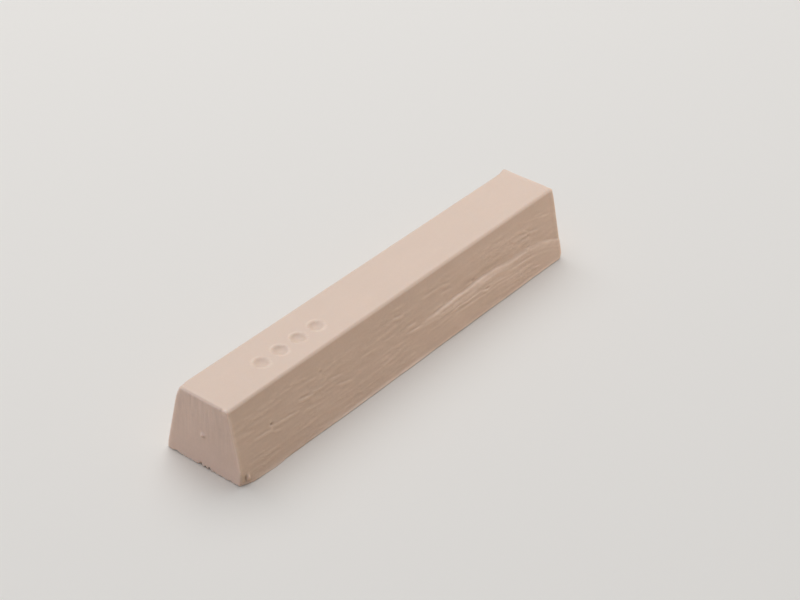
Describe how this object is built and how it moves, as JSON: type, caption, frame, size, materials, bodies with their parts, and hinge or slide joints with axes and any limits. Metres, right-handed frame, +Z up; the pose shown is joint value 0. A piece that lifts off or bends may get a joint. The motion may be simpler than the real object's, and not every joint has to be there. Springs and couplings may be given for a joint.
{
  "type": "furniture repair wax stick",
  "caption": "Cast bar of pigmented filler wax with a tapered section, square ends and a dimpled moulded face, for filling scratches in furniture.",
  "frame": {"origin": "middle of the wide poured face that the stick lies on", "axes": "+X along the stick from the dimpled end to the lapped end, +Z up from the poured face to the narrow moulded face, lapped side towards -Y"},
  "size_m": [0.08, 0.0158, 0.0126],
  "materials": {
    "wax": "cast pigmented wax in pale beige, with a dull waxy sheen"
  },
  "bodies": {
    "root": {"wax_bar": "wax"}
  },
  "joints": []
}
